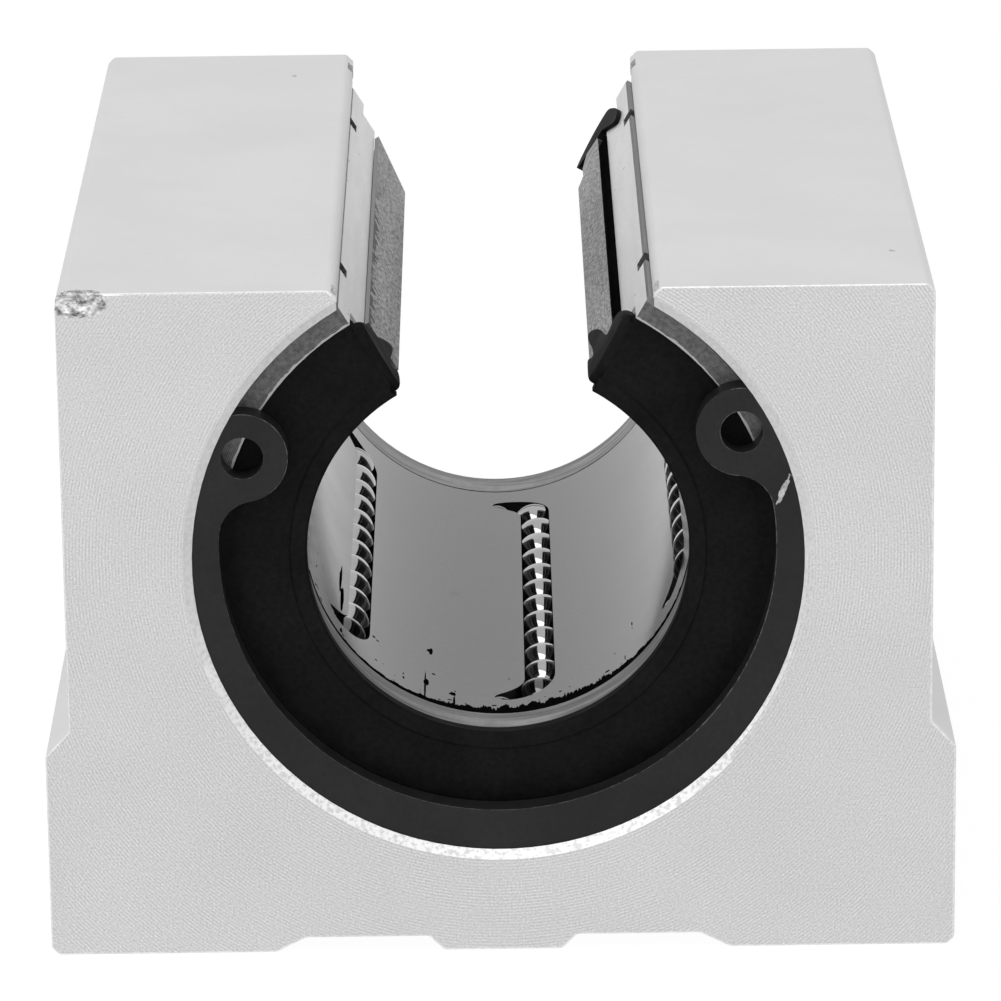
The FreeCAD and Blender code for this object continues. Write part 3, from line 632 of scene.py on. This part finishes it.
def ball_tree(material):
    """Puts a ball on every point of the mesh that it is given."""
    tree = bpy.data.node_groups.new("balls_on_points", "GeometryNodeTree")
    tree.interface.new_socket("Geometry", in_out="INPUT", socket_type="NodeSocketGeometry")
    tree.interface.new_socket("Radius", in_out="INPUT", socket_type="NodeSocketFloat")
    tree.interface.new_socket("Segments", in_out="INPUT", socket_type="NodeSocketInt")
    tree.interface.new_socket("Geometry", in_out="OUTPUT", socket_type="NodeSocketGeometry")
    nodes, links = tree.nodes, tree.links
    given = nodes.new("NodeGroupInput")
    out = nodes.new("NodeGroupOutput")
    ball = nodes.new("GeometryNodeMeshUVSphere")
    half = nodes.new("ShaderNodeMath")
    half.operation = "DIVIDE"
    half.inputs[1].default_value = 2
    links.new(given.outputs["Segments"], half.inputs[0])
    links.new(given.outputs["Segments"], ball.inputs["Segments"])
    links.new(half.outputs[0], ball.inputs["Rings"])
    links.new(given.outputs["Radius"], ball.inputs["Radius"])
    smooth = nodes.new("GeometryNodeSetShadeSmooth")
    links.new(ball.outputs["Mesh"], smooth.inputs[0])
    spread = nodes.new("GeometryNodeInstanceOnPoints")
    links.new(given.outputs["Geometry"], spread.inputs["Points"])
    links.new(smooth.outputs[0], spread.inputs["Instance"])
    real = nodes.new("GeometryNodeRealizeInstances")
    links.new(spread.outputs[0], real.inputs[0])
    finish = nodes.new("GeometryNodeSetMaterial")
    finish.inputs["Material"].default_value = material
    links.new(real.outputs[0], finish.inputs[0])
    links.new(finish.outputs[0], out.inputs[0])
    return tree


def grown(name, points, tree, values):
    """The plain mesh that a Geometry Nodes tree makes of some points."""
    mesh = bpy.data.meshes.new(name + "_points")
    mesh.from_pydata([tuple(point) for point in points], [], [])
    holder = placed(name + "_points", mesh)
    made = holder.modifiers.new("grow", "NODES")
    made.node_group = tree
    for socket in tree.interface.items_tree:
        if socket.item_type == "SOCKET" and socket.in_out == "INPUT" and socket.name in values:
            made[socket.identifier] = values[socket.name]
    result = bpy.data.meshes.new_from_object(holder.evaluated_get(bpy.context.evaluated_depsgraph_get()))
    result.name = name
    bpy.data.objects.remove(holder)
    return result


balls = ball_tree(ball_steel())
for number in range(1, CIRCUITS + 1):
    for part, segments in SEGMENTS.items():
        node = f"{part}_{number}"
        mesh = grown(f"balls_{node}", ball_centres(node), balls, {"Radius": BALL_R, "Segments": segments})
        new_piece(f"balls_{node}", mesh, node, "balls", node)

# ------------------------------------------------------------------ end rings
# A grey ring closes the channels at each end of the cage and carries the seal. The rear one has broken off
# beside the slit and left a stub on the right.
TAPER = 0.10
STUB = ((21.4, 13.6), (24.0, 15.9), (24.7, 15.9), (25.5, 14.3), (23.6, 13.6))


def end_grey():
    material, w, place, facing = new_material("end_ring_grey")
    face = w.filled(round_faces, {"Vector": place, "Normal": facing}).outputs
    rings = w.filled(turned_rings, {"Vector": place, "Radius": face["Radius"], "Pitch": 0.3 * MM}).outputs[0]
    cloud = w.noise(place, 420.0, 5.0, stretch=(1.0, 0.4, 1.0))
    tone = w.math("MULTIPLY", w.ramp(cloud, 0.35, 0.65, 0.13, 0.30), w.ramp(rings, -1.0, 1.0, 0.85, 1.1))
    bands = w.noise(place, 1400.0, 3.0, stretch=(0.08, 1.0, 0.08))
    tone = w.math("MULTIPLY", tone, w.ramp(bands, 0.38, 0.62, 0.45, 1.45))
    w.finish(tone, w.math("ADD", cloud, w.math("MULTIPLY", rings, 0.2)), 0.01 * MM, Metallic=0.2,
             Roughness=w.ramp(cloud, 0.3, 0.7, 0.3, 0.5))
    return material


def fragment(made, outline, first, last, steps=6):
    """Sweeps an outline part of a turn and tapers its far side.

    The outline's points are along the axis and away from it, in millimetres.
    """
    middle = [sum(values) / len(outline) for values in zip(*outline)]
    sections = []
    for i in range(steps + 1):
        share = i / steps
        shrink = 1.0 - TAPER * share ** 4
        turn = first + (last - first) * share
        sections.append([about_axis(turn, (middle[1] + (radius - middle[1]) * shrink) * MM,
                                    (middle[0] + (y - middle[0]) * shrink) * MM) for y, radius in outline])
    swept(made, sections)


ring_grey = end_grey()
dressed("end_ring_front", "end_ring_front", "end_ring", ring_grey)
shape = merged_copy("end_ring_rear")
fragment(shape, STUB, cage_end - 0.05, arc_of("end_ring_rear")[1] - 0.1)
dressed("end_ring_rear", "end_ring_rear", "end_ring", ring_grey, shape)

# ------------------------------------------------------------------ seals
# Black rubber wiper seals. The front one is torn at the slit and its tatters lie on the faces of the cage;
# the rear one has worn back, and a rag of it is left on the right.
TATTER_LEFT = ((-30.0, 18.1), (-28.9, 18.0), (-28.4, 16.9), (-27.6, 16.3), (-25.1, 15.2), (-23.5, 14.3),
               (-23.4, 13.8), (-26.4, 14.1), (-28.1, 14.2), (-28.2, 13.7), (-26.8, 13.1), (-28.0, 12.75),
               (-30.0, 12.7))
TATTER_RIGHT = ((-30.0, 18.1), (-27.9, 18.1), (-26.6, 17.4), (-26.3, 16.8), (-27.0, 16.3), (-27.2, 15.7),
                (-24.4, 15.0), (-21.7, 14.5), (-20.6, 14.1), (-19.1, 13.5), (-18.8, 13.0), (-20.6, 13.1),
                (-23.4, 13.5), (-25.5, 13.7), (-26.1, 13.5), (-25.3, 13.1), (-24.6, 12.8), (-26.0, 12.7),
                (-30.0, 12.7))
REAR_RAG = ((23.0, 18.9), (25.0, 18.4), (27.2, 17.7), (27.6, 17.0), (27.8, 15.8), (27.7, 14.5), (27.0, 12.7),
            (26.2, 12.9), (25.4, 14.3), (24.6, 15.6), (24.9, 16.2), (24.6, 16.7), (21.2, 18.2), (21.4, 18.6))
SEAL_SECTION = ((0.25, 0.0), (0.05, 0.14), (0.0, 0.4), (0.0, 1.05), (0.13, 1.2), (0.13, 3.0), (0.2, 4.0),
                (0.36, 4.7), (0.5, 5.2), (0.5, 5.72), (1.4, 5.72), (1.4, 0.3), (1.1, 0.0))
SEAL_STEPS = 180
SEAL_TEAR = 1.6
SEAL_TORN_SHARE = 0.1
SEAL_SPARE = 0.6
SEAL_WAVE = 0.03 * MM


def softened(outline):
    """A closed outline with every corner cut, twice over."""
    for _ in range(2):
        points = []
        for (a, b), (c, d) in zip(outline, outline[1:] + outline[:1]):
            points += [(a * 0.75 + c * 0.25, b * 0.75 + d * 0.25), (a * 0.25 + c * 0.75, b * 0.25 + d * 0.75)]
        outline = tuple(points)
    return outline


def front_seal():
    """The seal's ring, with a lip, a step and a dished face, torn unevenly at both ends of its arc."""
    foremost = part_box("seal_front")[0].y
    inner = reach_of("seal_front")[0]
    first, last = arc_of("seal_front")
    made = bmesh.new()
    sections = []
    for i in range(SEAL_STEPS + 1):
        share = i / SEAL_STEPS
        torn = max(0.0, abs(1 - 2 * share) - (1.0 - SEAL_TORN_SHARE)) / SEAL_TORN_SHARE
        section = []
        for k, (depth, rise) in enumerate(SEAL_SECTION):
            tear = SEAL_TEAR * noise.noise(Vector((k * 0.83, share * 2.0, 4.0)))
            angle = first + (last - first) * share + tear * (1 - 2 * share) * torn
            wave = SEAL_WAVE * noise.noise(Vector((share * 40.0, rise, 0.0))) if depth < 1.0 else 0.0
            angle = min(max(angle, first - SEAL_SPARE), last + SEAL_SPARE)
            section.append(about_axis(angle, inner + rise * MM, foremost + depth * MM + max(wave, 0.0)))
        sections.append(section)
    swept(made, sections)
    fragment(made, softened(TATTER_LEFT), cage_start + 1.5, cage_start - 0.9)
    fragment(made, softened(TATTER_RIGHT), cage_end - 1.5, cage_end + 0.9)
    return made


def dull_black(name, low, high, shine):
    material, w, place, _ = new_material(name)
    grain = w.noise(place, 2600.0, 4.0)
    cloud = w.noise(place, 260.0, 4.0)
    dust = w.filled(specks, {"Vector": place, "Scale": 300.0, "Amount": 0.05, "Size": 0.07}).outputs[0]
    tone = w.math("MULTIPLY", w.ramp(cloud, 0.3, 0.7, low, high), w.ramp(grain, 0.3, 0.7, 0.75, 1.25))
    tone = w.blend(dust, tone, 0.12)
    w.finish(tone, grain, 0.012 * MM, Roughness=w.ramp(cloud, 0.3, 0.7, 0.5, 0.7), Specular_IOR_Level=shine)
    return material


black_rubber = dull_black("black_rubber", 0.008, 0.013, 0.03)
dressed("rubber_seal_front", "seal_front", "seal", black_rubber, front_seal())
shape = merged_copy("seal_rear")
fragment(shape, softened(REAR_RAG), cage_end - 0.1, arc_of("seal_rear")[1] - 0.1)
dressed("rubber_seal_rear", "seal_rear", "seal", black_rubber, shape)

# ------------------------------------------------------------------ old grease and painted joint shade
# Black grease and worn rubber, set hard in a ragged line round the front of the bore and as crumbs and
# streaks that the balls have dragged in. A black strip in the joint between the cage and the sleeve on the
# right is painted shade, standing in for the shadow in that gap.
JOINT_SHADE_STRIP = ((-25.2, 15.92), (23.6, 15.92), (23.6, 16.66), (-25.2, 16.66))
GREASE_DEPTH = 0.02 * MM
LINE_STEPS = 420
LINE_START, LINE_END = -78.0, 80.0
LINE_THICKEST, LINE_SPREAD = 14.0, 34.0
CRUMBS = 70
CRUMB_CORNERS = 14
CRUMB_ARC = 46.0
STREAKS = ((-23.1, -20.2, -25.3, 0.13), (-22.6, -21.0, -22.2, 0.34), (-13.9, -22.6, -25.3, 0.12),
           (-14.4, -22.2, -22.8, 0.46), (-21.4, -14.4, -15.7, 0.32), (-22.2, -14.8, -15.2, 0.30),
           (-57.0, -11.6, -16.4, 0.26), (-55.8, -14.8, -20.4, 0.34))


def ragged_line(made):
    """The line round the front end of the bore, thick at the bottom and thin at the sides."""
    sections = []
    for i in range(LINE_STEPS + 1):
        turn = LINE_START + (LINE_END - LINE_START) * i / LINE_STEPS
        broad = noise.noise(Vector((turn * 0.35, 0.0, 0.0)))
        rough = 0.5 + 0.8 * broad + 0.7 * noise.noise(Vector((turn * 1.9, 3.0, 0.0)))
        thick = 0.16 + 1.0 * math.exp(-((turn - LINE_THICKEST) / LINE_SPREAD) ** 2)
        far = cage_low.y + max(0.22, 0.25 + thick * (0.5 + rough)) * MM
        sections.append([about_axis(turn, radius, y) for y, radius in (
            (cage_low.y + 0.05 * MM, cage_in + 0.15 * MM), (cage_low.y + 0.12 * MM, cage_in - GREASE_DEPTH),
            (far, cage_in - GREASE_DEPTH), (far + 0.03 * MM, cage_in + 0.15 * MM))])
    swept(made, sections)


def crumb(made, turn, y, half_width, half_length, seed):
    """A small ragged patch on the wall of the bore."""
    outline = []
    for k in range(CRUMB_CORNERS):
        way = 2 * math.pi * k / CRUMB_CORNERS
        reach = 1.0 + 0.55 * noise.noise(Vector((math.cos(way) * 1.3, math.sin(way) * 1.3, seed * 7.3)))
        outline.append((turn + math.degrees(half_width * math.cos(way) * reach / cage_in),
                        y + half_length * math.sin(way) * reach))
    swept(made, [[about_axis(angle, radius, place) for angle, place in outline]
                 for radius in (cage_in + 0.1 * MM, cage_in - GREASE_DEPTH)])


shape = bmesh.new()
# A black strip in the joint on the right: painted shade, standing in for the shadow between the cage and the
# sleeve
fragment(shape, JOINT_SHADE_STRIP, sleeve_end - 1.0, cage_end - 0.12)
ragged_line(shape)
for i in range(CRUMBS):
    spread = [noise.cell(Vector((i + 0.5, k + 0.5, 0.5))) for k in range(4)]
    crumb(shape, CRUMB_ARC * (2 * spread[0] - 1), cage_low.y + (0.9 + 7.0 * spread[1] ** 2) * MM,
          (0.03 + 0.14 * spread[2] ** 3) * MM, (0.06 + 0.40 * spread[3] ** 3) * MM, i)
for k, (turn, start, end, width) in enumerate(STREAKS):
    crumb(shape, turn, (start + end) / 2 * MM, width / 2 * MM, (start - end) / 2 * MM, 90 + k)
set_grease_and_joint_shade = dull_black("set_grease_and_joint_shade", 0.003, 0.006, 0.0)
grease_and_shade_mesh = carved(to_mesh("old_grease_and_joint_shade", shape), channels, crossing=True)
new_piece("old_grease_and_joint_shade", clothe(true_round(grease_and_shade_mesh), set_grease_and_joint_shade), "block", "seal")

# ------------------------------------------------------------------ retaining rings
# Stamped and blackened spring rings that hold the bearing in its bore. Their bevelled rims are painted
# lighter as a painted highlight, and the front one has a bright nick beside its right ear, from pliers.
RING_EDGE = 0.12 * MM
RING_CORNER = math.radians(60)
NICK = Vector((18.6, -32.0, 31.6)) * MM
NICK_REACH = Vector((0.17, 0.6, 1.05)) * MM
NICK_LEAN = math.radians(-24)


def phosphate():
    material, w, place, facing = new_material("blackened_spring_steel")
    face = w.filled(round_faces, {"Vector": place, "Normal": facing}).outputs
    grain = w.noise(place, 2600.0, 4.0)
    cloud = w.noise(place, 200.0, 4.0)
    tone = w.math("MULTIPLY", w.ramp(cloud, 0.3, 0.7, 0.012, 0.019), w.ramp(grain, 0.3, 0.7, 0.8, 1.2))
    # The bevelled rims are painted lighter: a painted highlight along the edges
    tone = w.blend(face["Edge"], tone, w.ramp(grain, 0.4, 0.6, 0.04, 0.16))
    dust = w.filled(specks, {"Vector": place, "Scale": 350.0, "Amount": 0.06, "Size": 0.08}).outputs[0]
    tone = w.blend(dust, tone, 0.14)
    leaned = w.put("ShaderNodeVectorRotate", {"Vector": place, "Center": NICK, "Angle": NICK_LEAN},
                   rotation_type="Y_AXIS")
    far = w.egg(leaned, NICK, NICK_REACH)
    torn = w.ramp(w.noise(place, 2200.0, 4.0), 0.3, 0.7, -0.5, 0.5)
    bare = w.math("LESS_THAN", w.math("ADD", far, torn), 0.9)
    tone = w.blend(bare, tone, w.ramp(grain, 0.3, 0.7, 0.3, 0.7))
    w.finish(tone, grain, 0.006 * MM, Roughness=w.ramp(grain, 0.3, 0.7, 0.4, 0.55), Specular_IOR_Level=0.20)
    return material


blackened = phosphate()
for end in ("front", "rear"):
    node = f"retaining_ring_{end}"
    shape = merged_copy(node)
    corners = [edge for edge in shape.edges
               if len(edge.link_faces) == 2 and edge.calc_face_angle() > RING_CORNER]
    bmesh.ops.bevel(shape, geom=corners, offset=RING_EDGE, segments=2, profile=0.5, affect="EDGES",
                    clamp_overlap=True)
    dressed(f"snap_ring_{end}", node, "clip", blackened, shape)

# ------------------------------------------------------------------ floor, light and camera
# A white table that carries on out of sight, in white surroundings. One broad soft light stands above it,
# and a weaker one stands in front.
scene = bpy.context.scene
FLOOR_HALF = 3.0
FLOOR_HEIGHT = -0.02 * MM


def white_seen(w, other):
    """One where the camera or a reflection sees the surface, and another value for the light it gives."""
    path = w.put("ShaderNodeLightPath").outputs
    seen = w.math("MAXIMUM", path["Is Camera Ray"], w.math("MAXIMUM", path["Is Glossy Ray"],
                                                          path["Is Transmission Ray"]))
    return w.blend(seen, other, 1.0)


corners = [(x * FLOOR_HALF, y * FLOOR_HALF, FLOOR_HEIGHT) for x, y in ((-1, -1), (1, -1), (1, 1), (-1, 1))]
floor_mesh = bpy.data.meshes.new("floor")
floor_mesh.from_pydata(corners, [], [(0, 1, 2, 3)])
floor = placed("floor", floor_mesh)
table = bpy.data.materials.new("white_table")
table.use_nodes = True
w = Wires(table.node_tree)
paint = w.put("ShaderNodeBsdfDiffuse", {"Color": (0.9, 0.9, 0.9, 1.0)})
glow = w.put("ShaderNodeEmission", {"Color": (1.0, 1.0, 1.0, 1.0), "Strength": 1.05})
mixed = w.put("ShaderNodeMixShader", {0: w.math("MULTIPLY", white_seen(w, 0.0), 0.9), 1: paint, 2: glow})
w.put("ShaderNodeOutputMaterial", {"Surface": mixed})
clothe(floor_mesh, table)

world = bpy.data.worlds.new("studio")
scene.world = world
world.use_nodes = True
w = Wires(world.node_tree)
sky = w.put("ShaderNodeBackground", {"Color": (1.0, 1.0, 1.0, 1.0), "Strength": white_seen(w, 0.5)})
w.put("ShaderNodeOutputWorld", {"Surface": sky})


def soft_light(name, place, size, power):
    """A square lamp that faces the middle of the object."""
    light = bpy.data.lights.new(name, "AREA")
    light.size = size
    light.energy = power
    lamp = placed(name, light)
    aim = (Vector((0.0, 0.0, 0.02)) - Vector(place)).to_track_quat("-Z", "Y")
    lamp.matrix_world = Matrix.LocRotScale(Vector(place), aim, None)


soft_light("key_light", (-0.15, -0.25, 0.60), 0.45, 1.3)
soft_light("front_light", (-0.05, -0.58, 0.06), 0.40, 0.62)

YAW, PITCH, ROLL = (math.radians(value) for value in (-0.053, 17.531, -0.723))
CAMERA_PLACE = Vector((-0.18, -429.63, 156.77)) * MM
FOCAL_LENGTH = 230.3237642
SENSOR = 36.0
forward = Vector((-math.sin(YAW) * math.cos(PITCH), math.cos(YAW) * math.cos(PITCH), -math.sin(PITCH)))
level = Vector((math.cos(YAW), math.sin(YAW), 0.0))
upward = level.cross(forward)
right = math.cos(ROLL) * level + math.sin(ROLL) * upward
top = -math.sin(ROLL) * level + math.cos(ROLL) * upward
camera_data = bpy.data.cameras.new("camera")
camera_data.sensor_width = SENSOR
camera_data.lens = FOCAL_LENGTH
camera_data.clip_start = 0.01
camera = placed("camera", camera_data)
camera.matrix_world = Matrix.Translation(CAMERA_PLACE) @ Matrix((right, top, -forward)).transposed().to_4x4()
scene.camera = camera
scene.view_settings.view_transform = "Standard"
